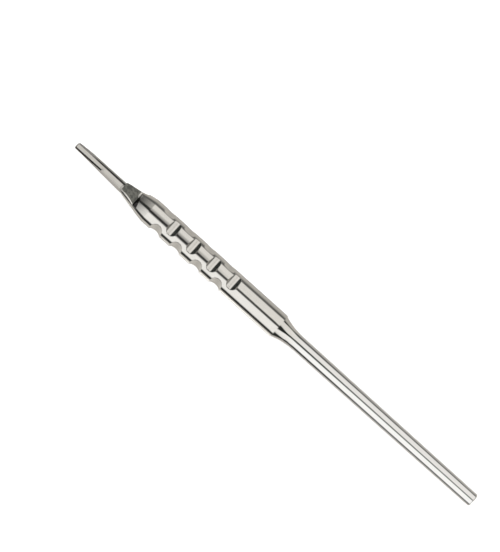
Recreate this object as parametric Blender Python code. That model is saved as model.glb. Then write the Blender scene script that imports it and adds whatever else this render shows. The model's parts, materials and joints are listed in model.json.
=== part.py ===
"""Scalpel handle: an eight-sided steel bar with a fitting for a slide-on blade at its front end.

Sizes are in metres. X runs along the handle towards the blade fitting, +Z is up, and the handle
lies on one flat of its grip. Stations are distances back from the tip of the fitting. Angles
round the handle are measured from +Z towards +Y.
"""

import math

import bmesh
import bpy
from mathutils import Matrix, Vector

MM = 0.001

# Lengths along the handle, from the tip of the fitting to the rear end
FITTING_LENGTH = 18.9 * MM
FRONT_NECK_LENGTH = 6.3 * MM
FRONT_TAPER_LENGTH = 4.4 * MM
GRIP_LENGTH = 52.0 * MM
REAR_NECK_LENGTH = 7.3 * MM
TAIL_LENGTH = 71.1 * MM

# Distances across the flats of the eight-sided bar
NECK_FRONT_FLATS = 3.6 * MM
NECK_REAR_FLATS = 6.1 * MM
GRIP_FLATS = 7.7 * MM
TAIL_FRONT_FLATS = 4.76 * MM
TAIL_REAR_FLATS = 4.1 * MM

# Rounds along the eight corners, and the chamfer round the rear end
GRIP_CORNER = 0.5 * MM
NECK_CORNER = 0.3 * MM
TURNED_CORNER = 1.45 * MM
TAIL_CORNER = 0.3 * MM
END_CHAMFER = 0.35 * MM
TAPER_BREAK = math.radians(7.0)

# The flats milled above and below the front neck, and the relief along its spine side
FLAT_HEIGHT = 1.25 * MM
FLAT_LENGTH = 6.1 * MM
FLAT_RUNOUT = 0.55 * MM
FLAT_SKEW = math.radians(18.0)
RELIEF_ANGLE = math.radians(9.4)
RELIEF_LENGTH = 6.0 * MM
RELIEF_RUNOUT = 2.0 * MM

# The blade fitting: a tongue with a rail on top, stepped back on both sides and undercut
TONGUE_TOP = 1.05 * MM
TONGUE_TIP_BOTTOM = 0.62 * MM
TONGUE_ROOT_BOTTOM = 1.0 * MM
SPINE_SIDE = 1.5 * MM
SPINE_SIDE_TIP = 1.2 * MM
SPINE_NOSE_LENGTH = 5.6 * MM
EDGE_SIDE_TIP = 0.92 * MM
EDGE_SIDE_ROOT = 1.8 * MM
NOSE_CHAMFER = 0.5 * MM
RAMP_LENGTH = 1.1 * MM
SEAT_HEIGHT = 0.3 * MM
RAIL_SPINE_SIDE_TIP = 0.4 * MM
RAIL_SPINE_SIDE_ROOT = 0.14 * MM
RAIL_EDGE_SIDE = 0.9 * MM
UNDERCUT_DEPTH = 0.28 * MM
UNDERCUT_HEIGHT = 0.42 * MM
EDGE_STEP_LENGTH = 10.6 * MM

# Finger notches: straight cylindrical cuts across the grip, in rows that are staggered. A row's
# angle points from the axis to its cuts, and its floor is how near the axis they come.
NOTCH_PITCH = 8.03 * MM
NOTCHES_IN_ROW = 4
FIRST_NOTCH = 5.17 * MM
STAGGER = 0.475
FACE_ROW_ANGLE = math.radians(10.5)
FACE_ROW_RADIUS = 2.3 * MM
FACE_ROW_FLOOR = 3.03 * MM
EDGE_ROW_ANGLE = math.radians(90.0)
EDGE_ROW_RADIUS = 2.3 * MM
EDGE_ROW_FLOOR = 2.6 * MM
SPINE_ROW_ANGLE = math.radians(-45.0)
SPINE_ROW_RADIUS = 7.4 * MM
SPINE_ROW_FLOOR = 3.6 * MM

# How finely the curves are cut into facets
CORNER_STEPS = 3
ARC_STEPS = 8
NOTCH_STEPS = 72
RUNOUT_STEPS = 4
ROUND_PROFILE = 0.5
SHARP_ANGLE = math.radians(20.0)

SIDES = 8
HALF_SIDE = math.pi / SIDES
CUT_MARGIN = 2.0 * MM

ROOT = FITTING_LENGTH
TAPER_START = ROOT + FRONT_NECK_LENGTH
GRIP_START = TAPER_START + FRONT_TAPER_LENGTH
GRIP_END = GRIP_START + GRIP_LENGTH
TAIL_START = GRIP_END + REAR_NECK_LENGTH
LENGTH = TAIL_START + TAIL_LENGTH
AXIS_HEIGHT = GRIP_FLATS / 2


def clear_scene():
    for obj in list(bpy.data.objects):
        bpy.data.objects.remove(obj, do_unlink=True)


def new_collection(name, hidden=False):
    collection = bpy.data.collections.new(name)
    bpy.context.scene.collection.children.link(collection)
    collection.hide_render = hidden
    return collection


def place(station, y=0.0, z=0.0):
    """The world point at a station, y to the edge side and z above the handle's axis."""
    return Vector((LENGTH / 2 - station, y, AXIS_HEIGHT + z))


def steel_material():
    material = bpy.data.materials.new("polished_steel")
    material.use_nodes = True
    shader = material.node_tree.nodes["Principled BSDF"]
    shader.inputs["Base Color"].default_value = (0.62, 0.60, 0.57, 1.0)
    shader.inputs["Metallic"].default_value = 1.0
    shader.inputs["Roughness"].default_value = 0.22
    return material


def object_from(bm, name, collection, cutter=False):
    mesh = bpy.data.meshes.new(name)
    bmesh.ops.recalc_face_normals(bm, faces=bm.faces)
    bm.to_mesh(mesh)
    bm.free()
    obj = bpy.data.objects.new(name, mesh)
    collection.objects.link(obj)
    if cutter:
        obj.display_type = "WIRE"
        obj.hide_render = True
    return obj


def extruded(outline, axis, depth, name, collection):
    """A closed outline of world points, swept both ways along an axis by depth."""
    bm = bmesh.new()
    corners = [bm.verts.new(point - axis * depth) for point in outline]
    face = bm.faces.new(corners)
    grown = bmesh.ops.extrude_face_region(bm, geom=[face])
    moved = [item for item in grown["geom"] if isinstance(item, bmesh.types.BMVert)]
    bmesh.ops.translate(bm, verts=moved, vec=axis * (2 * depth))
    return object_from(bm, name, collection, cutter=True)


def add_boolean(obj, name, operation, operand):
    modifier = obj.modifiers.new(name, "BOOLEAN")
    modifier.solver = "EXACT"
    modifier.operation = operation
    if isinstance(operand, bpy.types.Collection):
        modifier.operand_type = "COLLECTION"
        modifier.collection = operand
    else:
        modifier.object = operand


def arc_between(start, end, end_slope):
    """Points of the circular arc from start to end that arrives at end with the given slope."""
    chord = Vector(end) - Vector(start)
    half_turn = math.atan2(chord.y, chord.x) - end_slope
    radius = chord.length / (2 * math.sin(half_turn))
    centre = Vector(end) + radius * Vector((math.sin(end_slope), -math.cos(end_slope)))
    first = end_slope + 2 * half_turn
    slopes = [first - 2 * half_turn * step / ARC_STEPS for step in range(ARC_STEPS + 1)]
    return [centre + radius * Vector((-math.sin(slope), math.cos(slope))) for slope in slopes]


def bar_sections():
    """Sections of the bar as (station, half the distance across flats, corner round)."""
    front = (TAPER_START, NECK_REAR_FLATS / 2)
    sections = [(ROOT, NECK_FRONT_FLATS / 2, NECK_CORNER)]
    for station, half in arc_between(front, (GRIP_START, GRIP_FLATS / 2), TAPER_BREAK):
        along = (station - TAPER_START) / FRONT_TAPER_LENGTH
        sections.append((station, half, NECK_CORNER + (GRIP_CORNER - NECK_CORNER) * along))
    sections.append((GRIP_END, GRIP_FLATS / 2, GRIP_CORNER))

    drop = (GRIP_FLATS - TAIL_FRONT_FLATS) / 2
    radius = (REAR_NECK_LENGTH**2 + drop**2) / (2 * drop)
    for step in range(ARC_STEPS + 1):
        along = (step + 0.5) / (ARC_STEPS + 0.5)
        left = REAR_NECK_LENGTH * (1 - along)
        half = TAIL_FRONT_FLATS / 2 + radius - math.sqrt(radius**2 - left**2)
        corner = TURNED_CORNER + (TAIL_CORNER - TURNED_CORNER) * min(1.0, along * 1.5)
        sections.append((TAIL_START - left, half, corner))

    sections.append((LENGTH - END_CHAMFER, TAIL_REAR_FLATS / 2, TAIL_CORNER))
    sections.append((LENGTH, TAIL_REAR_FLATS / 2 - END_CHAMFER, TAIL_CORNER))
    return sections


def section_points(station, half_flats, corner_round):
    """The eight-sided outline with its corners rounded, as points about the handle's axis."""
    points = []
    reach = (half_flats - corner_round) / math.cos(HALF_SIDE)
    for side in range(SIDES):
        middle = (2 * side + 1) * HALF_SIDE
        for step in range(CORNER_STEPS + 1):
            angle = middle + HALF_SIDE * (2 * step / CORNER_STEPS - 1)
            y = reach * math.sin(middle) + corner_round * math.sin(angle)
            z = reach * math.cos(middle) + corner_round * math.cos(angle)
            points.append(place(station, y, z))
    return points


def lofted_bar(collection):
    """The whole bar behind the fitting, lofted from section to section."""
    bm = bmesh.new()
    rings = [[bm.verts.new(point) for point in section_points(*section)] for section in bar_sections()]
    for near, far in zip(rings, rings[1:]):
        for index in range(len(near)):
            after = (index + 1) % len(near)
            bm.faces.new((near[index], near[after], far[after], far[index]))
    bm.faces.new(rings[0])
    bm.faces.new(rings[-1])
    return object_from(bm, "scalpel_handle", collection)


def blade_tongue(cutters):
    """The fitting's tongue: its side view, swept across, cut to its outline from above."""
    behind = ROOT + CUT_MARGIN
    side_view = [
        place(0, 0, TONGUE_TOP),
        place(ROOT - RAMP_LENGTH, 0, TONGUE_TOP),
        place(ROOT, 0, FLAT_HEIGHT),
        place(behind, 0, FLAT_HEIGHT),
        place(behind, 0, -TONGUE_ROOT_BOTTOM),
        place(ROOT, 0, -TONGUE_ROOT_BOTTOM),
        place(0, 0, -TONGUE_TIP_BOTTOM),
    ]
    top_view = [
        place(0, EDGE_SIDE_TIP),
        place(ROOT, EDGE_SIDE_ROOT),
        place(behind, EDGE_SIDE_ROOT),
        place(behind, -SPINE_SIDE),
        place(SPINE_NOSE_LENGTH, -SPINE_SIDE),
        place(NOSE_CHAMFER, -SPINE_SIDE_TIP),
        place(0, NOSE_CHAMFER - SPINE_SIDE_TIP),
    ]
    tongue = extruded(side_view, Vector((0, 1, 0)), GRIP_FLATS / 2, "tongue", cutters)
    outline = extruded(top_view, Vector((0, 0, 1)), GRIP_FLATS / 2, "tongue_outline", cutters)
    add_boolean(tongue, "outline", "INTERSECT", outline)
    return tongue


def rail_steps(cutters):
    """Cutters that leave the rail standing on the tongue, with an undercut for the blade."""
    above = FLAT_HEIGHT + CUT_MARGIN
    lip = SEAT_HEIGHT + UNDERCUT_HEIGHT
    made = []
    edge_side = (1, RAIL_EDGE_SIDE, RAIL_EDGE_SIDE, EDGE_STEP_LENGTH)
    spine_side = (-1, RAIL_SPINE_SIDE_TIP, RAIL_SPINE_SIDE_ROOT, ROOT)
    for side, tip, root, rear in (edge_side, spine_side):
        middle = (rear - CUT_MARGIN) / 2
        slope = (root - tip) / ROOT
        rail = tip + slope * middle
        inner = rail - UNDERCUT_DEPTH
        outer = GRIP_FLATS / 2
        profile = [(rail, above), (outer, above), (outer, SEAT_HEIGHT), (inner, SEAT_HEIGHT)]
        profile += [(inner, lip), (rail, lip)]
        outline = [place(middle, side * y, z) for y, z in profile]
        depth = (rear + CUT_MARGIN) / 2
        axis = Vector((1, -side * slope, 0))
        made.append(extruded(outline, axis, depth, f"rail_step_{len(made)}", cutters))
    return made


def neck_flats(cutters):
    """Cutters for the flats above and below the neck, with a rounded and skewed run-out."""
    made = []
    for side in (1, -1):
        length = FLAT_LENGTH + ROOT
        height = GRIP_FLATS
        bm = bmesh.new()
        bmesh.ops.create_cube(bm, size=1.0)
        bmesh.ops.scale(bm, vec=(length, 3 * GRIP_FLATS, height), verts=bm.verts)
        inner = [
            edge
            for edge in bm.edges
            if all(vert.co.x < 0 and vert.co.z * side < 0 for vert in edge.verts)
        ]
        bmesh.ops.bevel(
            bm,
            geom=inner,
            offset=FLAT_RUNOUT,
            segments=RUNOUT_STEPS,
            profile=ROUND_PROFILE,
            affect="EDGES",
        )
        middle = place(ROOT - length / 2 + FLAT_LENGTH, 0, side * (FLAT_HEIGHT + height / 2))
        end = place(ROOT + FLAT_LENGTH)
        skew = Matrix.Translation(end) @ Matrix.Rotation(FLAT_SKEW, 4, "Z") @ Matrix.Translation(-end)
        bm.transform(skew @ Matrix.Translation(middle))
        made.append(object_from(bm, f"neck_flat_{len(made)}", cutters, cutter=True))
    return made


def spine_relief(cutters):
    """Cutter for the slanted flat that carries the tongue's spine side back along the neck."""
    slope = math.tan(RELIEF_ANGLE)
    first = ROOT - CUT_MARGIN
    last = ROOT + RELIEF_LENGTH
    outer = -2 * GRIP_FLATS
    outline = [place(first, outer), place(first, CUT_MARGIN * slope - SPINE_SIDE)]
    last_y = -(SPINE_SIDE + RELIEF_LENGTH * slope)
    outline.append(place(last, last_y))
    for step in range(1, ARC_STEPS + 1):
        turn = math.pi / 2 * step / ARC_STEPS
        station = last + RELIEF_RUNOUT * math.sin(turn)
        outline.append(place(station, last_y - RELIEF_RUNOUT * (1 - math.cos(turn))))
    outline.append(place(last + RELIEF_RUNOUT, outer))
    return extruded(outline, Vector((0, 0, 1)), GRIP_FLATS, "spine_relief", cutters)


def notch_cutter(station, angle, radius, floor, name, collection):
    """A cylinder lying across the handle, whose lowest line is at floor from the axis."""
    bm = bmesh.new()
    bmesh.ops.create_cone(
        bm,
        cap_ends=True,
        segments=NOTCH_STEPS,
        radius1=radius,
        radius2=radius,
        depth=2 * GRIP_FLATS,
    )
    lay = Matrix.Rotation(math.pi / 2, 4, "X")
    lift = Matrix.Translation((0, 0, floor + radius))
    turn = Matrix.Rotation(-angle, 4, "X")
    bm.transform(Matrix.Translation(place(station)) @ turn @ lift @ lay)
    return object_from(bm, name, collection, cutter=True)


def finger_notches(cutters):
    """One row along the edge side, and rows on the face and the spine side's corner facet, which
    are mirrored below."""
    face_row = (FACE_ROW_RADIUS, FACE_ROW_FLOOR, STAGGER)
    spine_row = (SPINE_ROW_RADIUS, SPINE_ROW_FLOOR, 0.0)
    rows = [
        ("upper_face_row", FACE_ROW_ANGLE, *face_row),
        ("lower_face_row", math.pi - FACE_ROW_ANGLE, *face_row),
        ("upper_spine_row", SPINE_ROW_ANGLE, *spine_row),
        ("lower_spine_row", math.pi - SPINE_ROW_ANGLE, *spine_row),
        ("edge_row", EDGE_ROW_ANGLE, EDGE_ROW_RADIUS, EDGE_ROW_FLOOR, 0.0),
    ]
    for name, angle, radius, floor, shift in rows:
        for index in range(NOTCHES_IN_ROW):
            station = GRIP_START + FIRST_NOTCH + NOTCH_PITCH * (index + shift)
            notch_cutter(station, angle, radius, floor, f"{name}_{index + 1}", cutters)


def finished(obj, material):
    """Applies the modifiers, gives the steel and shades the rounds smooth."""
    graph = bpy.context.evaluated_depsgraph_get()
    mesh = bpy.data.meshes.new_from_object(obj.evaluated_get(graph))
    obj.modifiers.clear()
    obj.data = mesh
    mesh.name = obj.name
    mesh.materials.clear()
    mesh.materials.append(material)
    mesh.shade_smooth()
    mesh.set_sharp_from_angle(angle=SHARP_ANGLE)


def build():
    clear_scene()
    parts = new_collection("scalpel_handle")
    cutters = new_collection("cutters", hidden=True)
    notches = new_collection("notch_cutters", hidden=True)

    handle = lofted_bar(parts)
    for index, cutter in enumerate(neck_flats(cutters)):
        add_boolean(handle, f"neck_flat_{index}", "DIFFERENCE", cutter)
    add_boolean(handle, "spine_relief", "DIFFERENCE", spine_relief(cutters))
    finger_notches(notches)
    add_boolean(handle, "finger_notches", "DIFFERENCE", notches)
    add_boolean(handle, "tongue", "UNION", blade_tongue(cutters))
    for index, cutter in enumerate(rail_steps(cutters)):
        add_boolean(handle, f"rail_step_{index}", "DIFFERENCE", cutter)
    finished(handle, steel_material())


build()
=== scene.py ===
import json
import math

import bpy
import numpy as np
from mathutils import Matrix, Vector

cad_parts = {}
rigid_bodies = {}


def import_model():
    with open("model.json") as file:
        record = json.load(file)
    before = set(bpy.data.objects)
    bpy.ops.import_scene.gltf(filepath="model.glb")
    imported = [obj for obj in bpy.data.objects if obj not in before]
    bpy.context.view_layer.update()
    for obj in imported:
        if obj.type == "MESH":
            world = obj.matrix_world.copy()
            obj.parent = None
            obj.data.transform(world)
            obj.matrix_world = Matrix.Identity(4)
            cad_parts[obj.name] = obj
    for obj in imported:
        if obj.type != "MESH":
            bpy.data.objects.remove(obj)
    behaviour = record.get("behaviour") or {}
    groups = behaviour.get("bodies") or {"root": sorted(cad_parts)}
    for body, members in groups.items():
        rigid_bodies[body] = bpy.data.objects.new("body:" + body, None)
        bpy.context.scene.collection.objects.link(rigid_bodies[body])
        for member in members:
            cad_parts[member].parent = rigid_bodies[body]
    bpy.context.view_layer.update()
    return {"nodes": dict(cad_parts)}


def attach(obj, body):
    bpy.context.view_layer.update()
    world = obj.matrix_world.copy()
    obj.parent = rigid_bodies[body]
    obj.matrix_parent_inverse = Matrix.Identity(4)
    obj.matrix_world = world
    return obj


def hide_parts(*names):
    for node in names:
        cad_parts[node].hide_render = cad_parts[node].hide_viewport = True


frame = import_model()
print("frame loaded:", sorted(frame["nodes"]))

mm = 0.001                   # metres
beyond = 9.0                 # further out than any steel; minus this is the field of what isn't there

handleBar = {
    "length": 160.0,
    "axisHeight": 3.85,
    "root": 18.9,            # the blade fitting ends and the neck starts
    "taperStart": 25.2,
    "gripStart": 29.6,
    "gripEnd": 81.6,
    "tailStart": 88.9,
    "flatCount": 8,
    "neckFlats": (3.6, 6.1),  # across flats at the root and at the taper
    "gripFlats": 7.7,
    "tailFlats": (4.76, 4.1),  # across flats at its start and at the end
    "taperBreak": 7.0,       # slope in degrees where the taper meets the grip
    "endChamfer": 0.35,
    "turnedCorner": ((81.6, 1.013), (87.2, 1.083)),  # station, turned radius over half the flats
    "turnedSoftness": 0.02,
    # Station and softness of the corners, as they are and as their shine shows them
    "cornerSoftness": ((18.9, 0.1), (25.2, 0.12), (29.0, 0.16), (81.5, 0.16), (81.8, 0.1), (160.0, 0.1)),
    "sheenSoftness": ((18.9, 0.3), (25.2, 0.35), (29.0, 0.5), (81.5, 0.5), (81.8, 0.12), (84.0, 0.14),
                      (86.0, 0.26), (88.9, 0.42), (98.0, 0.38), (112.0, 0.27), (160.0, 0.2)),
    "crown": 0.3,            # how far the polish leans each flat's shine outwards at its edges
}

milledNeck = {
    "flatHeight": 1.25,
    "flatEnd": 25.0,         # station of the shoulder on the middle line
    "skew": 18.0,
    "grooveFront": 23.6,
    "grooveBottom": 24.42,
    "grooveDrop": 0.1,
    "leastClimb": 0.05,      # the shoulder stays this far behind the groove's bottom
    "rimSoftness": 0.06,
    "reliefStart": 1.5,      # distance of the spine-side flat from the axis at the root
    "reliefAngle": 9.4,
    "reliefEnd": 24.9,
    "reliefRunOut": 2.0,
}

fingerNotches = {
    "pitch": 8.03,
    "count": 4,
    "first": 34.77,
    "rimSoftness": 0.025,
    # Angle of the row, radius, floor above the axis, shift in pitches, and how far in degrees its
    # shine leans round the handle and towards the tip
    "rows": (
        (10.5, 2.3, 3.03, 0.475, -2.5, -7.5),
        (169.5, 2.3, 3.03, 0.475, 2.5, -7.5),
        (90.0, 2.3, 2.6, 0.0, -2.5, 0.0),
        (-45.0, 7.4, 3.6, 0.0, 0.0, 0.0),
        (-135.0, 7.4, 3.6, 0.0, 0.0, 0.0),
    ),
}


# The larger of two fields, with the crease between them rounded off: the larger one plus
# (softness - difference) squared over four times the softness, where they differ by less than that.
def softMax(a, b, softness):
    near = np.maximum(softness - np.abs(a - b), 0.0)
    return np.maximum(a, b) + near * near / (4 * softness)


# A value at any station, on straight lines between the (station, value) pairs of a table.
def tableAt(table, s):
    places, values = zip(*table)
    return np.interp(s, places, values)


# Half the distance across flats at a station: straight along neck and tail, and a circular arc
# along each taper. The front arc reaches the grip with the slope taperBreak, the rear one ends level.
def halfFlats(s):
    b = handleBar
    neckA, neckB = b["neckFlats"][0] / 2, b["neckFlats"][1] / 2
    grip = b["gripFlats"] / 2
    tailA, tailB = b["tailFlats"][0] / 2, b["tailFlats"][1] / 2
    run, rise = b["gripStart"] - b["taperStart"], grip - neckB
    slope = math.radians(b["taperBreak"])
    turn = math.atan2(rise, run) - slope
    radius = math.hypot(run, rise) / (2 * math.sin(turn))
    centreS = b["gripStart"] + radius * math.sin(slope)
    centreH = grip - radius * math.cos(slope)
    taper = centreH + np.sqrt(np.maximum(radius**2 - (s - centreS) ** 2, 0.0))
    drop, reach = grip - tailA, b["tailStart"] - b["gripEnd"]
    hollow = (reach**2 + drop**2) / (2 * drop)
    rear = tailA + hollow - np.sqrt(hollow**2 - np.clip(b["tailStart"] - s, 0.0, reach) ** 2)
    neck = neckA + (neckB - neckA) * (s - b["root"]) / (b["taperStart"] - b["root"])
    tail = tailA + (tailB - tailA) * (s - b["tailStart"]) / (b["length"] - b["tailStart"])
    chamfer = tailB - b["endChamfer"] * np.clip(1 - (b["length"] - s) / b["endChamfer"], 0.0, 1.0)
    rules = [s < b["taperStart"], s < b["gripStart"], s <= b["gripEnd"], s < b["tailStart"]]
    half = np.select(rules, [neck, taper, np.full_like(s, grip), rear], tail)
    return np.where(s > b["length"] - b["endChamfer"], chamfer, half)


# Height above the axis of the milled neck: level to the groove, down its front bevel, then up its
# back to the skewed shoulder, where the bar takes over: half its flats, or beside its top flat
# the square root of two times that, less y.
def milledHeight(s, y):
    m = milledNeck
    low = m["flatHeight"] - m["grooveDrop"]
    shoulder = m["flatEnd"] + y * math.tan(math.radians(m["skew"]))
    shoulder = np.maximum(shoulder, m["grooveBottom"] + m["leastClimb"])
    bar = np.minimum(halfFlats(s), math.sqrt(2) * halfFlats(s) - np.abs(y))
    fall = np.clip((s - m["grooveFront"]) / (m["grooveBottom"] - m["grooveFront"]), 0.0, 1.0)
    climb = np.clip((s - m["grooveBottom"]) / (shoulder - m["grooveBottom"]), 0.0, 1.0)
    height = m["flatHeight"] - m["grooveDrop"] * fall + (bar - low) * climb
    return np.where(s > shoulder, beyond, height)


# How far a point stands outside the spine-side flat: minus y, less the flat's distance from the
# axis, which grows along a straight slope and runs out in an arc behind reliefEnd.
def reliefField(s, y):
    m = milledNeck
    slope = math.tan(math.radians(m["reliefAngle"]))
    past = np.clip(s - m["reliefEnd"], 0.0, m["reliefRunOut"])
    lift = m["reliefRunOut"] - np.sqrt(m["reliefRunOut"] ** 2 - past**2)
    limit = m["reliefStart"] + slope * (np.minimum(s, m["reliefEnd"]) - handleBar["root"]) + lift
    return np.where(s > m["reliefEnd"] + m["reliefRunOut"], -beyond, -y - limit)


# How deep a point lies inside the nearest notch cylinder of a row: the cylinder's radius minus
# the distance from its axis, which lies across the handle at floor + radius.
def notchField(s, y, z, angle, radius, floor, shift):
    n = fingerNotches
    turn = math.radians(angle)
    nearest = np.clip(np.round((s - n["first"]) / n["pitch"] - shift), 0, n["count"] - 1)
    along = s - (n["first"] + n["pitch"] * (nearest + shift))
    out = y * math.sin(turn) + z * math.cos(turn) - floor - radius
    depth = radius - np.hypot(along, np.minimum(out, 0.0))
    return np.maximum(depth, np.where(np.abs(along) < radius, out, -beyond))


# The eight flats: the soft largest of their heights, each leaned outwards by crown times the
# square of the distance from its middle line over twice the bar's half width.
def flatsField(s, y, z, softness, crown):
    half = halfFlats(s)
    flatCount = handleBar["flatCount"]
    field = np.full_like(s, -beyond)
    for side in range(flatCount):
        turn = math.radians(360.0 / flatCount * side)
        across = y * math.cos(turn) - z * math.sin(turn)
        height = y * math.sin(turn) + z * math.cos(turn) - half + crown * across**2 / (2 * half)
        field = softMax(field, height, softness)
    return field


# The rear neck was turned: how far a point lies outside a circle whose radius is half the flats
# times turnedCorner, which grows until the circle reaches the corners.
def turnedField(s, y, z):
    b = handleBar
    radius = halfFlats(s) * tableAt(b["turnedCorner"], s)
    return np.where(s > b["gripEnd"], np.hypot(y, z) - radius, -beyond)


# Everything cut from the bar: the soft largest of the milled flats above and below, the
# spine-side flat and the rows of notches.
def cutsField(s, y, z):
    m, rim = milledNeck, fingerNotches["rimSoftness"]
    neck = s < handleBar["gripStart"]
    field = np.where(neck, reliefField(s, y), -beyond)
    for up in (1.0, -1.0):
        field = softMax(field, np.where(neck, up * z - milledHeight(s, y), -beyond), m["rimSoftness"])
    for row in fingerNotches["rows"]:
        field = softMax(field, notchField(s, y, z, *row[:4]), rim)
    return field


# How far a point stands outside the steel: the soft largest of flats, turned neck and cuts.
def barField(s, y, z):
    b = handleBar
    field = flatsField(s, y, z, tableAt(b["cornerSoftness"], s), 0.0)
    field = softMax(field, turnedField(s, y, z), b["turnedSoftness"])
    return softMax(field, cutsField(s, y, z), fingerNotches["rimSoftness"])


# The share of the first of two fields in the crease between them: half, plus their difference
# over twice the softness, and 0 or 1 away from the crease.
def creaseShare(a, b, softness):
    return np.clip(0.5 + (a - b) / (2 * softness), 0.0, 1.0)


# The way a field grows, from its values a short step to either side of the point. Stations run
# against x, so their share is turned round.
def slopeOf(field, s, y, z, step=0.004):
    s = np.clip(s, handleBar["root"] + 2 * step, handleBar["length"] - 2 * step)
    alongS = field(s + step, y, z) - field(s - step, y, z)
    alongY = field(s, y + step, z) - field(s, y - step, z)
    alongZ = field(s, y, z + step) - field(s, y, z - step)
    return np.stack([-alongS, alongY, alongZ], axis=-1) / (2 * step)


# The directions that light the bar: the slopes of flats, turned neck and cuts, each by its share.
# The flats are taken as crowned and their corners as broadly rounded, as buffing leaves them, and
# each row of notches leans its own way.
def barNormals(s, y, z):
    b, rim = handleBar, fingerNotches["rimSoftness"]
    sheen = tableAt(b["sheenSoftness"], s)
    plain = flatsField(s, y, z, tableAt(b["cornerSoftness"], s), 0.0)
    turned = turnedField(s, y, z)
    turnedShare = creaseShare(turned, plain, b["turnedSoftness"])[..., None]
    cutShare = creaseShare(cutsField(s, y, z), np.maximum(plain, turned), rim)[..., None]
    bar = slopeOf(lambda s, y, z: flatsField(s, y, z, sheen, b["crown"]), s, y, z)
    bar = bar + (slopeOf(turnedField, s, y, z) - bar) * turnedShare
    normals = bar + (slopeOf(cutsField, s, y, z) - bar) * cutShare
    for row in fingerNotches["rows"]:
        share = np.clip(1 + notchField(s, y, z, *row[:4]) / rim, 0.0, 1.0)
        around, along = share * math.radians(row[4]), share * math.radians(row[5])
        outY, outZ = normals[..., 1], normals[..., 2]
        normals = normals + np.stack([along * np.hypot(outY, outZ), around * outZ, -around * outY], axis=-1)
    return normals / np.linalg.norm(normals, axis=-1, keepdims=True)


barMesh = {
    "pointsAround": 144,
    "cornerGather": 0.6,      # how much closer the points of a ring stand at its corners
    "rayLimits": (0.2, 5.0),  # the surface is looked for between these distances from the axis
    "halvings": 34,
    "edgeGap": 0.012,         # a sharp edge has a ring this far ahead of it and this far behind it
    "grooveAhead": (0.1, 0.05),  # the neck's rings end and the groove's start this far ahead of it
    # Stations where the spacing changes, in the order in which barStations takes them
    "milledEnd": 27.6,
    "taperRest": 27.7,
    "gripFrontEnd": 31.6,
    "notches": (31.7, 66.1),
    "gripRest": 67.0,
    "tailFirst": 92.0,
    # The rings along the notches
    "rimDistance": 1.68,      # a notch's rims lie about this far to either side of its middle
    "rimReach": 0.42,
    "ringsPerMm": (8.0, 22.0),  # along the notches, and within rimReach of a rim
    "fineSteps": 7000,        # of the running sum that spaces them
}


# Distance from the axis to the surface along each ray: the ray is halved again and again, always
# keeping the half where the field changes sign.
def surfaceRadius(s, angle):
    low = np.full_like(s, barMesh["rayLimits"][0])
    high = np.full_like(s, barMesh["rayLimits"][1])
    for halving in range(barMesh["halvings"]):
        middle = (low + high) / 2
        outside = barField(s, middle * np.sin(angle), middle * np.cos(angle)) > 0
        high = np.where(outside, middle, high)
        low = np.where(outside, low, middle)
    return (low + high) / 2


# Stations along the notches: the running sum of ringsPerMm is cut at every whole number.
def notchStations(start, end):
    n, r = fingerNotches, barMesh
    fine = np.linspace(start, end, r["fineSteps"])
    middles = [n["first"] + n["pitch"] * (index + row[3]) for row in n["rows"] for index in range(n["count"])]
    fromMiddle = np.abs(fine[:, None] - np.array(middles))
    nearRim = np.abs(fromMiddle - r["rimDistance"]).min(axis=1) < r["rimReach"]
    total = np.cumsum(np.where(nearRim, r["ringsPerMm"][1], r["ringsPerMm"][0])) * (fine[1] - fine[0])
    return np.interp(np.arange(total[0], total[-1]), total, fine)


# Stations of the rings: close together where the notches and the milled neck are, far apart on
# the straight runs, and in tight pairs at the sharp edges across the bar.
def barStations():
    b, m, r = handleBar, milledNeck, barMesh
    gap = r["edgeGap"]
    neckEnd, grooveStart = (m["grooveFront"] - ahead for ahead in r["grooveAhead"])
    chamferStart = b["length"] - b["endChamfer"]
    # First station, last station and number of rings of each run
    front = (
        (b["root"], neckEnd, 26),
        (grooveStart, r["milledEnd"], 66),
        (r["taperRest"], b["gripStart"] - gap, 10),
        (b["gripStart"] + gap, r["gripFrontEnd"], 6),
    )
    rear = (
        (r["gripRest"], b["gripEnd"] - gap, 10),
        (b["gripEnd"] + gap, b["tailStart"], 44),
        (r["tailFirst"], chamferStart - gap, 10),
        (chamferStart + gap, b["length"], 4),
    )
    frontRings = [np.linspace(*run) for run in front]
    rearRings = [np.linspace(*run) for run in rear]
    return np.concatenate(frontRings + [notchStations(*r["notches"])] + rearRings)


# The bar's grid: a ray at every station and angle, the angles gathered towards the corners by
# a sine wave with one period for each flat.
def barRings():
    b, r = handleBar, barMesh
    even = np.arange(r["pointsAround"]) * 2 * math.pi / r["pointsAround"]
    angle = even + r["cornerGather"] / b["flatCount"] * np.sin(b["flatCount"] * even)
    s, angle = np.meshgrid(barStations(), angle, indexing="ij")
    radius = surfaceRadius(s, angle)
    y, z = radius * np.sin(angle), radius * np.cos(angle)
    return np.stack([s, y, z], axis=-1), barNormals(s, y, z)


closingSizes = (0.998, 0.66, 0.33)  # of the rings that close an end, against the last ring
sharpAngle = 32.0                   # an edge of more degrees stays sharp, where no normals are given


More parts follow.
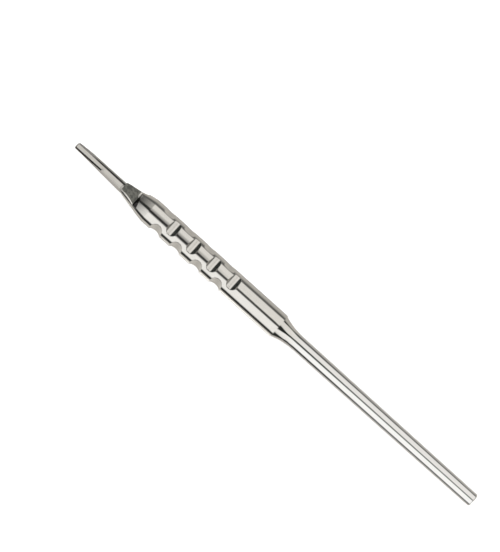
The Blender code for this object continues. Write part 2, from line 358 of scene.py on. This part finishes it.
# Rings of points (rings x around x 3, in mm) made a closed mesh: each ring is joined to the next,
# and both ends are closed by shrinking the last ring to its middle. Normals, where given, are one
# for each point of the rings, and the ends get their own.
def meshFromRings(name, rings, material, normals=None):
    def closing(ring):
        middle = ring.mean(axis=0)
        return [middle + (ring - middle) * size for size in closingSizes]
    rings = np.array(closing(rings[0])[::-1] + list(rings) + closing(rings[-1]))
    count, around = rings.shape[:2]
    points = np.vstack([rings.reshape(-1, 3), rings[0].mean(axis=0), rings[-1].mean(axis=0)])
    first = np.arange(count - 1)[:, None] * around + np.arange(around)
    after = np.arange(count - 1)[:, None] * around + (np.arange(around) + 1) % around
    quads = np.stack([first, after, after + around, first + around], axis=-1).reshape(-1, 4)
    front, rear = count * around, count * around + 1
    frontFan = np.stack([np.full(around, front), after[0], first[0]], axis=-1)
    rearFan = np.stack([np.full(around, rear), first[-1] + around, after[-1] + around], axis=-1)
    world = np.empty_like(points)
    world[:, 0] = (handleBar["length"] / 2 - points[:, 0]) * mm
    world[:, 1] = points[:, 1] * mm
    world[:, 2] = (points[:, 2] + handleBar["axisHeight"]) * mm
    mesh = bpy.data.meshes.new(name)
    mesh.from_pydata(world.tolist(), [], quads.tolist() + frontFan.tolist() + rearFan.tolist())
    mesh.materials.append(material)
    mesh.shade_smooth()
    if normals is None:
        mesh.set_sharp_from_angle(angle=math.radians(sharpAngle))
    else:
        ends = np.zeros((len(closingSizes), around, 3))
        ends[..., 0] = 1.0
        poles = np.array([[1.0, 0.0, 0.0], [-1.0, 0.0, 0.0]])
        pointNormals = np.vstack([np.concatenate([ends, normals, -ends]).reshape(-1, 3), poles])
        mesh.normals_split_custom_set_from_vertices(pointNormals.tolist())
    mesh.update()
    piece = bpy.data.objects.new(name, mesh)
    bpy.context.scene.collection.objects.link(piece)
    return piece


bladeFitting = {
    "top": 1.05,
    "rampStart": 18.4,
    "neckTop": 1.235,
    "bottom": (0.62, 1.0),   # below the axis at the tip and at the root
    "spineSide": ((0.0, 0.72), (0.5, 1.2), (5.6, 1.5), (20.9, 1.5)),  # station, distance from the axis
    "edgeSide": ((0.0, 0.92), (18.9, 1.8), (20.9, 1.8)),
    "seat": 0.3,             # height of the tongue's face beside the rail
    "lip": 0.72,             # height of the underside of the rail's edges
    "railSpineSide": ((0.0, -0.4), (18.9, -0.14), (20.9, -0.14)),  # station, y
    "railEdgeSide": 0.9,
    "leastStep": 0.01,       # the rail stays this far inside the tongue's edge side
    "undercut": 0.28,
    "edgeStepEnd": 10.6,
    "buriedEnd": 20.9,       # it runs on inside the neck
    "tipRound": 0.34,
    "cornerRound": 0.1,
    "largestRound": 0.45,    # of an edge that is too short for cornerRound at both ends
    "cornerPoints": 7,
    "tipRings": 7,
    "behindTip": (0.4, 0.7, 3),  # first station, last station and number of rings
    "tongueFirst": 1.0,      # station of the first ring past behindTip
    "edgeGap": 0.01,         # a sharp edge has a ring this far ahead of it and this far behind it
    "rampGap": 0.04,         # the last ring ahead of the ramp stands this far from it
}


# Corners given as (y, z) pairs of arrays, as one array: corner x station x 2.
def stackCorners(pairs):
    return np.array([np.stack(pair, axis=-1) for pair in pairs])


# The twelve corners of the fitting's section at each station, going round from the rail's spine
# side. Where a step has ended, its inner corners lie along the top face instead. At the tip each
# side is set in by a quarter circle: tipRound less the root of its square less (tipRound - s)
# squared.
def fittingCorners(s):
    f, root = bladeFitting, handleBar["root"]
    tipRound = f["tipRound"]
    inset = tipRound - np.sqrt(np.maximum(tipRound**2 - np.clip(tipRound - s, 0, None) ** 2, 0))
    spine = -tableAt(f["spineSide"], s) + inset
    edge = tableAt(f["edgeSide"], s) - inset
    top = np.interp(s, (f["rampStart"], root), (f["top"], f["neckTop"])) - inset
    bottom = -np.interp(s, (0.0, root), f["bottom"]) + inset
    railSpine = tableAt(f["railSpineSide"], s)
    railEdge = np.minimum(f["railEdgeSide"], edge - f["leastStep"])
    seat, lip = np.full_like(s, f["seat"]), np.full_like(s, f["lip"])
    innerSpine, innerEdge = railSpine + f["undercut"], railEdge - f["undercut"]
    corners = stackCorners([
        (railSpine, top), (railEdge, top), (railEdge, lip), (innerEdge, lip),
        (innerEdge, seat), (edge, seat), (edge, bottom), (spine, bottom),
        (spine, seat), (innerSpine, seat), (innerSpine, lip), (railSpine, lip),
    ])
    edgeTop = [(railEdge + (edge - railEdge) * share, top) for share in (0.2, 0.4, 0.6, 0.8, 1.0)]
    spineTop = [(spine + (railSpine - spine) * share, top) for share in (0.0, 0.25, 0.5, 0.75)]
    pastStep = (s > f["edgeStepEnd"])[None, :, None]
    buried = (s > root)[None, :, None]
    corners[1:6] = np.where(pastStep, stackCorners(edgeTop), corners[1:6])
    corners[8:12] = np.where(buried, stackCorners(spineTop), corners[8:12])
    return np.moveaxis(corners, 0, 1)


# Each corner becomes a short quadratic curve: it leaves one edge and joins the next at the
# corner round's distance, or at largestRound of the edge if that is shorter.
def roundedSection(corners):
    f = bladeFitting
    before = np.roll(corners, 1, axis=1) - corners
    after = np.roll(corners, -1, axis=1) - corners
    lengthBefore = np.linalg.norm(before, axis=-1, keepdims=True)
    lengthAfter = np.linalg.norm(after, axis=-1, keepdims=True)
    start = corners + before / lengthBefore * np.minimum(f["cornerRound"], f["largestRound"] * lengthBefore)
    end = corners + after / lengthAfter * np.minimum(f["cornerRound"], f["largestRound"] * lengthAfter)
    start, middle, end = start[:, :, None], corners[:, :, None], end[:, :, None]
    u = np.linspace(0, 1, f["cornerPoints"])[None, None, :, None]
    curve = (1 - u) ** 2 * start + 2 * u * (1 - u) * middle + u**2 * end
    return curve.reshape(corners.shape[0], -1, 2)


# The fitting's grid: its rounded section at every station. The tip's stations are a quarter
# circle's depths at even angles, and a sharp edge across the fitting has a pair of rings.
def fittingRings():
    f, root = bladeFitting, handleBar["root"]
    gap = f["edgeGap"]
    tip = f["tipRound"] * (1 - np.cos(np.linspace(0, math.pi / 2, f["tipRings"])))
    # First station, last station and number of rings of each run
    runs = (
        f["behindTip"],
        (f["tongueFirst"], f["edgeStepEnd"] - gap, 14),
        (f["edgeStepEnd"] + gap, f["rampStart"] - f["rampGap"], 8),
        (f["rampStart"], root - gap, 6),
        (root + gap, f["buriedEnd"], 3),
    )
    stations = np.concatenate([tip] + [np.linspace(*run) for run in runs])
    section = roundedSection(fittingCorners(stations))
    along = np.repeat(stations[:, None], section.shape[1], axis=1)
    return np.concatenate([along[..., None], section], axis=-1)


# A shader node with some of its settings changed.
def addNode(tree, kind, **values):
    node = tree.nodes.new(kind)
    for key, value in values.items():
        setattr(node, key, value)
    return node


# A number, a colour or another node's output put into a socket.
def feed(tree, socket, value):
    if isinstance(value, bpy.types.NodeSocket):
        tree.links.new(value, socket)
    else:
        socket.default_value = value


# One step of arithmetic on one or two values.
def addMath(tree, operation, *values):
    node = addNode(tree, "ShaderNodeMath", operation=operation)
    for socket, value in zip(node.inputs, values):
        feed(tree, socket, value)
    return node.outputs[0]


# All values multiplied with each other.
def addProduct(tree, *values):
    product = values[0]
    for value in values[1:]:
        product = addMath(tree, "MULTIPLY", product, value)
    return product


# A smooth step from toLow to toHigh while the value goes from low to high.
def addRange(tree, value, low, high, toLow=0.0, toHigh=1.0):
    node = addNode(tree, "ShaderNodeMapRange", interpolation_type="SMOOTHSTEP")
    tree.links.new(value, node.inputs["Value"])
    node.inputs["From Min"].default_value = low
    node.inputs["From Max"].default_value = high
    node.inputs["To Min"].default_value = toLow
    node.inputs["To Max"].default_value = toHigh
    return node.outputs["Result"]


# One value or colour turning into another by a factor between 0 and 1. The Mix node keeps
# a set of sockets for each kind, so they are counted.
def addMix(tree, factor, a, b, kind="RGBA"):
    node = addNode(tree, "ShaderNodeMix", data_type=kind)
    firstInput, output = {"FLOAT": (2, 0), "RGBA": (6, 2)}[kind]
    tree.links.new(factor, node.inputs[0])
    feed(tree, node.inputs[firstInput], a)
    feed(tree, node.inputs[firstInput + 1], b)
    return node.outputs[output]


# Noise read at a place whose coordinates are multiplied by scale and, axis by axis, by stretch.
def addNoise(tree, place, scale, detail, stretch=(1.0, 1.0, 1.0)):
    mapping = addNode(tree, "ShaderNodeMapping")
    mapping.inputs["Scale"].default_value = stretch
    tree.links.new(place, mapping.inputs["Vector"])
    noise = addNode(tree, "ShaderNodeTexNoise")
    noise.inputs["Scale"].default_value = scale
    noise.inputs["Detail"].default_value = detail
    tree.links.new(mapping.outputs[0], noise.inputs["Vector"])
    return noise.outputs["Fac"]


# Station, y and height from the axis in millimetres, read from the object's own coordinates.
def addPlace(tree):
    coords = addNode(tree, "ShaderNodeTexCoord")
    split = addNode(tree, "ShaderNodeSeparateXYZ")
    tree.links.new(coords.outputs["Object"], split.inputs[0])
    tipX, axisZ = handleBar["length"] / 2 * mm, handleBar["axisHeight"] * mm
    station = addMath(tree, "DIVIDE", addMath(tree, "SUBTRACT", tipX, split.outputs["X"]), mm)
    y = addMath(tree, "DIVIDE", split.outputs["Y"], mm)
    z = addMath(tree, "DIVIDE", addMath(tree, "SUBTRACT", split.outputs["Z"], axisZ), mm)
    return coords.outputs["Object"], station, y, z


steelFinish = {
    "light": (0.53, 0.515, 0.49, 1.0),
    "dark": (0.47, 0.46, 0.44, 1.0),
    "cloudScale": 420.0,
    "cloudDetail": 3.0,
    "roughness": (0.11, 0.17),
    "grainStretch": (60.0, 2600.0, 2600.0),
    "grainDetail": 4.0,
    "grainRange": (0.3, 0.7),
    "grainDepth": 0.004,
    "grainStrength": 0.15,
}


# What the steel of both pieces shares: a faint cloudy tone and a fine lengthwise grain, which
# varies the gloss and stands a few thousandths of a millimetre high.
def addSteel(tree, place):
    f = steelFinish
    grain = addNoise(tree, place, 1.0, f["grainDetail"], f["grainStretch"])
    tone = addMix(tree, addNoise(tree, place, f["cloudScale"], f["cloudDetail"]), f["light"], f["dark"])
    gloss = addRange(tree, grain, *f["grainRange"], *f["roughness"])
    bump = addNode(tree, "ShaderNodeBump")
    bump.inputs["Strength"].default_value = f["grainStrength"]
    bump.inputs["Distance"].default_value = f["grainDepth"] * mm
    tree.links.new(grain, bump.inputs["Height"])
    return tone, gloss, bump.outputs["Normal"]


# The metal's colour is the tone times the strength, which is the share of light that it gives back.
def finishSteel(tree, colour, strength, rough, normal):
    shader = tree.nodes["Principled BSDF"]
    scaled = addNode(tree, "ShaderNodeVectorMath", operation="SCALE")
    tree.links.new(colour, scaled.inputs[0])
    tree.links.new(strength, scaled.inputs["Scale"])
    tree.links.new(scaled.outputs[0], shader.inputs["Base Color"])
    tree.links.new(rough, shader.inputs["Roughness"])
    tree.links.new(normal, shader.inputs["Normal"])
    shader.inputs["Metallic"].default_value = 1.0


# Pairs of numbers are where a smooth step starts and ends.
barFinish = {
    "neck": (0.61, 0.595, 0.57, 1.0),
    "neckEnd": (23.4, 25.0),
    "tail": (0.572, 0.57, 0.562, 1.0),
    "tailStart": (83.0, 92.0),
    "edgeShade": 0.6,             # painted shade: how much the grip's top is darkened along its edge side, for a dark reflection
    "edgeShadeY": (-0.1, 1.0),
    "edgeShadeHeight": (3.3, 3.75),
    "edgeShadeFront": (29.2, 29.8),
    "edgeShadeRear": (42.0, 66.0),
}

milledFinish = {
    "colour": (0.235, 0.235, 0.213, 1.0),
    "spots": (0.12, 0.122, 0.112, 1.0),
    "spotScale": 1300.0,
    "spotDetail": 3.0,
    "spotRange": (0.38, 0.66),
    "roughness": 0.55,
    "height": (-0.15, -0.125),  # against the neck's flat
    "front": (-0.03, 0.0),   # against the root
    "rear": (-0.1, 0.5),     # against the groove's front
    # From the first y to the second, its rear moves back by the third and then by the fourth
    "rearShift": (-0.9, 0.5, 0.2, 0.9),
    # Limit of y: the first, plus the second times the square of the way past the third station
    "edge": (1.5, 0.038, 19.0),
    "edgeBlend": 0.06,
}

wedgeShadow = {
    "shine": 0.07,           # painted shadow: what is left of the shine in front of the skewed shoulder
    "front": (-0.03, 0.0),   # against the groove's bottom
    "rear": (-0.02, 0.02),   # ahead of the shoulder
    "edge": (0.2, 2.1),      # limit of y: the first times the station, less the second
    "edgeBlend": 0.05,
    "spine": (-2.38, -2.33),
    "height": (0.5, 0.6),
}


# The dull share of the bar: the neck's flats, from the root to the groove and as far as a curved
# line along the edge side.
def addMilled(tree, s, y, height):
    f, m, root = milledFinish, milledNeck, handleBar["root"]
    least, square, start = f["edge"]
    past = addMath(tree, "SUBTRACT", s, start)
    curve = addMath(tree, "ADD", addProduct(tree, past, past, square), least)
    shifted = addMath(tree, "SUBTRACT", s, addRange(tree, y, *f["rearShift"]))
    return addProduct(
        tree,
        addRange(tree, height, *(m["flatHeight"] + offset for offset in f["height"])),
        addRange(tree, shifted, *(m["grooveFront"] + offset for offset in f["rear"]), 1.0, 0.0),
        addRange(tree, s, *(root + offset for offset in f["front"])),
        addRange(tree, addMath(tree, "SUBTRACT", curve, y), 0.0, f["edgeBlend"]),
    )


# The wedge between the groove and the skewed shoulder, darkened by a painted shadow so that it gives back
# hardly any light.
def addWedge(tree, s, y, height):
    f, m = wedgeShadow, milledNeck
    skew = math.tan(math.radians(m["skew"]))
    shoulder = addMath(tree, "ADD", addMath(tree, "MULTIPLY", y, skew), m["flatEnd"])
    side = addMath(tree, "SUBTRACT", addMath(tree, "MULTIPLY", s, f["edge"][0]), f["edge"][1])
    return addProduct(
        tree,
        addRange(tree, s, *(m["grooveBottom"] + offset for offset in f["front"])),
        addRange(tree, addMath(tree, "SUBTRACT", shoulder, s), *f["rear"]),
        addRange(tree, addMath(tree, "SUBTRACT", side, y), 0.0, f["edgeBlend"]),
        addRange(tree, y, *f["spine"]),
        addRange(tree, height, *f["height"]),
    )


# The bar: polished, with the neck's flats left dull and spotted from the mill, a painted shadow in
# the wedge, painted shade along the edge side of the grip's top that stands in for a dark
# reflection, and lighter tones given to the neck and the tail.
def barSteel():
    f, milledLook = barFinish, milledFinish
    material = bpy.data.materials.new("bar_steel")
    material.use_nodes = True
    tree = material.node_tree
    place, s, y, z = addPlace(tree)
    tone, gloss, normal = addSteel(tree, place)
    height = addMath(tree, "ABSOLUTE", z)

    milled = addMilled(tree, s, y, height)
    spotNoise = addNoise(tree, place, milledLook["spotScale"], milledLook["spotDetail"])
    spots = addRange(tree, spotNoise, *milledLook["spotRange"])
    milledTone = addMix(tree, spots, milledLook["colour"], milledLook["spots"])

    # Painted shadow: the wedge in front of the skewed shoulder gives back hardly any light.
    wedge = addWedge(tree, s, y, height)
    # Painted shade: a soft dark band along the edge side of the grip's top, fading out towards the rear,
    # stands in for a dark reflection.
    edge = addProduct(
        tree,
        addRange(tree, y, *f["edgeShadeY"]),
        addRange(tree, z, *f["edgeShadeHeight"]),
        addRange(tree, s, *f["edgeShadeFront"]),
        addRange(tree, s, *f["edgeShadeRear"], 1.0, 0.0),
    )
    strength = addProduct(
        tree,
        addRange(tree, wedge, 0.0, 1.0, 1.0, wedgeShadow["shine"]),
        addMath(tree, "SUBTRACT", 1.0, addProduct(tree, edge, f["edgeShade"])),
    )
    tone = addMix(tree, addRange(tree, s, *f["neckEnd"]), f["neck"], tone)
    tone = addMix(tree, addRange(tree, s, *f["tailStart"]), tone, f["tail"])
    rough = addMix(tree, milled, gloss, milledLook["roughness"], "FLOAT")
    finishSteel(tree, addMix(tree, milled, tone, milledTone), strength, rough, normal)
    return material


# Painted light and shade: shares of the light given back, and where the smooth steps between them start and
# end.
fittingShade = {
    "rail": 0.81,
    "edgeStrip": 0.77,       # painted shade on the top face beside the rail's line, behind the step
    "edgeStripY": (0.8, 0.95),
    "stepBlend": 0.02,
    "spineStrip": 0.5,       # painted shade on the tongue's face on the spine side of the rail
    "tipStrip": 0.33,        # darker painted shade on the same strip near the tip
    "tipStripEnd": (3.0, 7.0),
    "belowTop": (0.86, 0.95),
    "aboveSeat": (0.2, 0.27),
    "spineY": (-0.12, -0.08),
    "edgeY": (0.5, 0.55),
    "recess": 0.06,          # painted shadow in the grooves under the rail's edges
    "spineRecess": (-1.08, -0.98),
    "recessStart": (3.5, 9.0),
    "edgeLean": 0.374,
    "edgeRecess": (1.02, 1.08),  # limit of y less edgeLean times the height
}


# The blade fitting, with painted light and shade: the rail's top is brightest, the strips beside it
# darker, and a painted shadow leaves the grooves under the rail's edges hardly any light.
def fittingSteel():
    f, stepEnd = fittingShade, bladeFitting["edgeStepEnd"]
    material = bpy.data.materials.new("fitting_steel")
    material.use_nodes = True
    tree = material.node_tree
    place, s, y, z = addPlace(tree)
    tone, gloss, normal = addSteel(tree, place)

    below = addRange(tree, z, *f["belowTop"], 1.0, 0.0)
    behind = addRange(tree, s, stepEnd - f["stepBlend"], stepEnd)
    # Painted shade: the tongue's face on the spine side of the rail is darker, most of all near the tip.
    spine = addProduct(
        tree,
        below,
        addRange(tree, y, *f["spineY"], 1.0, 0.0),
        addRange(tree, z, *f["aboveSeat"]),
    )
    # Painted shadow in the groove under the rail's spine-side edge.
    recessShadow = addProduct(tree, addRange(tree, y, *f["spineRecess"]), addRange(tree, s, *f["recessStart"]))
    strip = addRange(tree, s, *f["tipStripEnd"], f["tipStrip"], f["spineStrip"])
    spineShade = addMix(tree, recessShadow, strip, f["recess"], "FLOAT")
    edgeTop = addProduct(tree, behind, addRange(tree, y, *f["edgeStripY"]))
    topShade = addMix(tree, edgeTop, f["rail"], f["edgeStrip"], "FLOAT")
    leaned = addMath(tree, "SUBTRACT", y, addMath(tree, "MULTIPLY", z, f["edgeLean"]))
    # Painted shadow in the step under the rail's edge side, as far as the step's end.
    edge = addProduct(
        tree,
        below,
        addRange(tree, y, *f["edgeY"]),
        addRange(tree, leaned, *f["edgeRecess"], 1.0, 0.0),
        addRange(tree, behind, 0.0, 1.0, 1.0, 0.0),
    )
    strength = addMix(tree, spine, topShade, spineShade, "FLOAT")
    strength = addMix(tree, edge, strength, f["recess"], "FLOAT")
    finishSteel(tree, tone, strength, gloss, normal)
    return material


# The studio: a world of soft light panels round the handle. "around" is the angle round the
# handle's axis, 0 overhead and positive to the edge side, and "along" the tilt towards the tip. A
# panel starts at the first of its four angles, is full from the second to the third and has ended
# at the fourth.
level = (-15.0, -9.0, 9.0, 15.0)  # along, for a panel that lights only what runs level along the handle
studio = {
    "base": (0.75, 0.85, 0.8),
    "baseStrength": 0.05,
    "warm": (1.0, 0.98, 0.95),
    "white": (1.0, 0.995, 0.985),
    "tan": (1.0, 0.96, 0.9),
    "panels": (              # colour, strength, around, along
        ("warm", 0.41, (-54.0, -43.0, -15.5, -4.5), (-20.0, -14.0, 4.0, 13.0)),
        ("warm", 0.95, (-54.0, -43.0, -15.5, -4.5), (-20.0, -14.0, 6.0, 33.0)),
        ("warm", 1.36, (-15.5, -4.5, -1.0, 9.0), (-20.0, -14.0, 11.0, 15.0)),
        ("warm", 1.4, (-36.0, -29.0, -22.0, -15.0), (31.0, 38.0, 46.0, 53.0)),
        ("warm", 1.36, (-49.0, -42.0, -6.0, 0.0), (-75.0, -60.0, -20.0, -14.0)),
        ("warm", 0.07, (-15.0, -4.0, 20.0, 35.0), level),
        ("white", 1.6, (26.0, 42.0, 89.0, 105.0), level),
        ("white", 1.6, (23.0, 39.0, 89.0, 105.0), (9.0, 15.0, 8.5, 37.0)),
        ("white", 1.6, (50.0, 57.0, 78.0, 92.0), (-85.0, -65.0, -15.0, -9.0)),
        ("white", 1.6, (28.0, 45.0, 50.0, 57.0), (-24.0, -18.0, -15.0, -9.0)),
        ("tan", 0.77, (-230.0, -200.0, -117.0, -77.0), (-15.0, -9.0, 80.0, 90.0)),
        ("tan", 0.77, (-230.0, -200.0, -74.0, -66.0), (-90.0, -80.0, -15.0, -9.0)),
        ("tan", 0.25, (-117.0, -95.0, -90.0, -78.0), (-15.0, -9.0, -3.5, -1.0)),
        ("warm", 0.2, (-101.0, -93.0, -54.0, -43.0), (-4.0, -1.0, 9.0, 15.0)),
        ("warm", 0.16, (-101.0, -93.0, -54.0, -43.0), (9.0, 15.0, 35.0, 45.0)),
        ("tan", 0.82, (139.0, 157.0, 220.0, 230.0), (-90.0, -80.0, 80.0, 90.0)),
        ("warm", 0.9, (-115.0, -100.0, -60.0, -48.0), (33.0, 41.0, 80.0, 88.0)),
        ("white", 0.9, (12.0, 25.0, 145.0, 160.0), (33.0, 41.0, 80.0, 88.0)),
        ("white", 0.9, (2.0, 14.0, 145.0, 160.0), (-90.0, -85.0, -60.0, -52.0)),
        ("white", 1.9, (161.0, 164.0, 175.0, 180.0), (-1.2, -0.6, 0.6, 1.2)),
    ),
}


# Each panel's share is the product of two smooth steps round the handle and two along it, and the
# world's colour is the base plus every panel's colour times its strength and share.
def buildStudio():
    world = bpy.data.worlds.new("studio")
    bpy.context.scene.world = world
    world.use_nodes = True
    tree = world.node_tree
    background = tree.nodes["Background"]
    coords = addNode(tree, "ShaderNodeTexCoord")
    split = addNode(tree, "ShaderNodeSeparateXYZ")
    tree.links.new(coords.outputs["Generated"], split.inputs[0])
    degrees = 180 / math.pi
    turnRadians = addMath(tree, "ARCTAN2", split.outputs["Y"], split.outputs["Z"])
    turn = addMath(tree, "MULTIPLY", turnRadians, degrees)
    tilt = addMath(tree, "MULTIPLY", addMath(tree, "ARCSINE", split.outputs["X"]), degrees)
    total = addNode(tree, "ShaderNodeVectorMath", operation="SCALE")
    total.inputs[0].default_value = studio["base"]
    total.inputs["Scale"].default_value = studio["baseStrength"]
    for colour, strength, around, along in studio["panels"]:
        share = addProduct(
            tree,
            addRange(tree, turn, *around[:2]),
            addRange(tree, turn, *around[2:], 1.0, 0.0),
            addRange(tree, tilt, *along[:2]),
            addRange(tree, tilt, *along[2:], 1.0, 0.0),
        )
        light = addNode(tree, "ShaderNodeVectorMath", operation="SCALE")
        light.inputs[0].default_value = [channel * strength for channel in studio[colour]]
        tree.links.new(share, light.inputs["Scale"])
        added = addNode(tree, "ShaderNodeVectorMath", operation="ADD")
        tree.links.new(total.outputs[0], added.inputs[0])
        tree.links.new(light.outputs[0], added.inputs[1])
        total = added
    tree.links.new(total.outputs[0], background.inputs["Color"])


floorLook = {
    "size": 1.6,
    "colour": (0.93, 0.93, 0.93, 1.0),
    "roughness": 0.9,
    "glowColour": (1.0, 1.0, 1.0, 1.0),
    "glow": 0.72,
}


# A pale square under the handle, in metres. It glows, so that the handle hardly shades it.
def buildFloor():
    f = floorLook
    half = f["size"] / 2
    corners = [(-half, -half, 0), (half, -half, 0), (half, half, 0), (-half, half, 0)]
    mesh = bpy.data.meshes.new("floor")
    mesh.from_pydata(corners, [], [(0, 1, 2, 3)])
    material = bpy.data.materials.new("pale_floor")
    material.use_nodes = True
    shader = material.node_tree.nodes["Principled BSDF"]
    shader.inputs["Base Color"].default_value = f["colour"]
    shader.inputs["Roughness"].default_value = f["roughness"]
    shader.inputs["Emission Color"].default_value = f["glowColour"]
    shader.inputs["Emission Strength"].default_value = f["glow"]
    mesh.materials.append(material)
    floor = bpy.data.objects.new("floor", mesh)
    bpy.context.scene.collection.objects.link(floor)
    floor.visible_glossy = False     # the steel mirrors the studio's panels alone


photoView = {
    "pixel": 0.3002,         # mm of the handle per pixel
    "tilt": 20.5,            # degrees from straight above towards the edge side
    "turn": 138.10,          # direction of the tip in the picture, anticlockwise from its right
    "middle": (274.59, 322.41),  # pixel of the handle's middle
    "frame": (500, 552),
    "distance": 1200.0,
    "sensor": 36.0,
    "clipEnd": 10.0,         # metres
}


# The camera's right and up are the handle's direction and its perpendicular, turned in the
# picture's plane, and its aim is moved so that the handle's middle falls on its pixel. The lens is
# the sensor times the distance over the height of the view: the frame's height times pixel.
def buildCamera():
    v = photoView
    tilt, turn = math.radians(v["tilt"]), math.radians(v["turn"])
    back = Vector((0, math.sin(tilt), math.cos(tilt)))
    tipWay = Vector((1, 0, 0))
    across = back.cross(tipWay)
    right = math.cos(turn) * tipWay - math.sin(turn) * across
    up = math.sin(turn) * tipWay + math.cos(turn) * across
    width, height = v["frame"]
    aim = Vector((0, 0, handleBar["axisHeight"]))
    aim -= right * (v["middle"][0] - (width - 1) / 2) * v["pixel"]
    aim += up * (v["middle"][1] - (height - 1) / 2) * v["pixel"]
    data = bpy.data.cameras.new("camera")
    data.sensor_width = v["sensor"]
    data.lens = v["sensor"] * v["distance"] / (height * v["pixel"])
    data.clip_end = v["clipEnd"]
    camera = bpy.data.objects.new("camera", data)
    matrix = Matrix((right, up, back)).transposed().to_4x4()
    matrix.translation = (aim + back * v["distance"]) * mm
    camera.matrix_world = matrix
    bpy.context.scene.collection.objects.link(camera)
    bpy.context.scene.camera = camera


rings, normals = barRings()
body = meshFromRings("handle_body", rings, barSteel(), normals)
print("handle body:", len(body.data.polygons), "faces")
fitting = meshFromRings("blade_fitting", fittingRings(), fittingSteel())
print("blade fitting:", len(fitting.data.polygons), "faces")

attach(body, "root")
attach(fitting, "root")
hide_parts("scalpel_handle")

buildStudio()
buildFloor()
buildCamera()
bpy.context.scene.view_settings.view_transform = "Standard"
print("studio, floor and camera placed")
